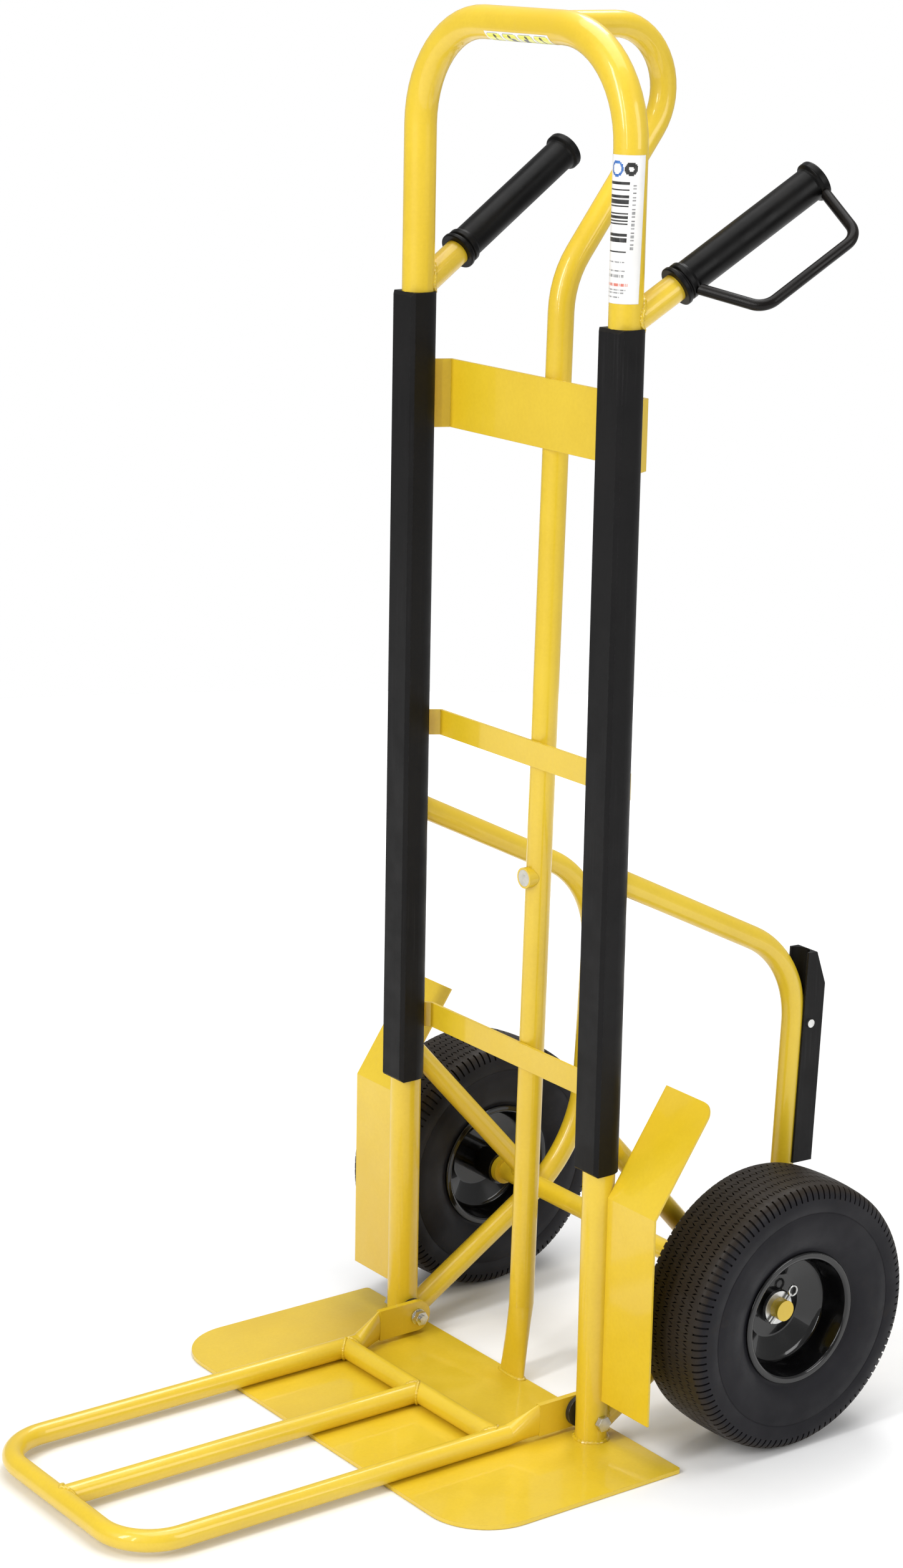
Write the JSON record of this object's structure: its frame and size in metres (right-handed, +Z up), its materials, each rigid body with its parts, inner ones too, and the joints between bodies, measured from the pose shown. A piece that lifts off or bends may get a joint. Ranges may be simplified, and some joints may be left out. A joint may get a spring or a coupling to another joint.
{
  "type": "hand truck",
  "caption": "Steel hand truck with a toe plate, folding toe extension, stair skid rails, pneumatic wheels, rear grips and a top carrying loop.",
  "frame": {"origin": "on the floor under the middle of the two uprights, on the toe plate's lower face", "axes": "+Z up along the uprights, +Y back towards the wheels, +X to the truck's right as seen from its front"},
  "size_m": [0.55, 0.768, 1.3],
  "materials": {
    "yellow": "gloss",
    "black_strip": "satin",
    "grip": "satin",
    "knuckle": "satin",
    "tyre": "matte",
    "rim": "gloss",
    "zinc": "satin",
    "magnet": "satin",
    "spacer": "matte"
  },
  "bodies": {
    "frame": {"axle": "yellow", "centre_tube": "yellow", "left_axle_brace": "yellow", "left_axle_collar": "yellow", "left_axle_washer": "zinc", "left_cotter_pin": "zinc", "left_grip": "grip", "left_handle_stub": "yellow", "left_knuckle_guard": "knuckle", "left_pivot_bolt": "zinc", "left_pivot_nut": "zinc", "left_pivot_spacer": "spacer", "left_pivot_washer": "zinc", "left_skid_rail": "yellow", "left_skid_strip": "black_strip", "left_skid_strip_screw": "zinc", "left_upright_strip": "black_strip", "left_wheel_guard": "yellow", "lower_crossbar": "yellow", "magnet": "magnet", "magnet_cup": "yellow", "main_frame_tube": "yellow", "middle_crossbar": "yellow", "right_axle_brace": "yellow", "right_axle_collar": "yellow", "right_axle_washer": "zinc", "right_cotter_pin": "zinc", "right_grip": "grip", "right_handle_stub": "yellow", "right_knuckle_guard": "knuckle", "right_pivot_bolt": "zinc", "right_pivot_nut": "zinc", "right_pivot_spacer": "spacer", "right_pivot_washer": "zinc", "right_skid_rail": "yellow", "right_skid_strip": "black_strip", "right_skid_strip_screw": "zinc", "right_upright_strip": "black_strip", "right_wheel_guard": "yellow", "toe_plate": "yellow", "upper_crossbar": "yellow"},
    "toe_extension": {"extension_centre_bar": "yellow", "extension_crossbar": "yellow", "extension_loop": "yellow"},
    "left_wheel": {"left_bearing_inner": "zinc", "left_bearing_outer": "zinc", "left_hub_sleeve": "rim", "left_rim_inner": "rim", "left_rim_outer": "rim", "left_tyre": "tyre"},
    "right_wheel": {"right_bearing_inner": "zinc", "right_bearing_outer": "zinc", "right_hub_sleeve": "rim", "right_rim_inner": "rim", "right_rim_outer": "rim", "right_tyre": "tyre"}
  },
  "joints": [
    {"name": "left_wheel_spin", "type": "hinge", "parent": "frame", "child": "left_wheel", "pos_m": [-0.2325, 0.148, 0.13], "axis": [1, 0, 0], "continuous": true},
    {"name": "right_wheel_spin", "type": "hinge", "parent": "frame", "child": "right_wheel", "pos_m": [0.2325, 0.148, 0.13], "axis": [1, 0, 0], "continuous": true},
    {"name": "extension_fold", "type": "hinge", "parent": "frame", "child": "toe_extension", "pos_m": [0, 0, 0.024], "axis": [-1, 0, 0], "range_deg": [0, 92]}
  ]
}
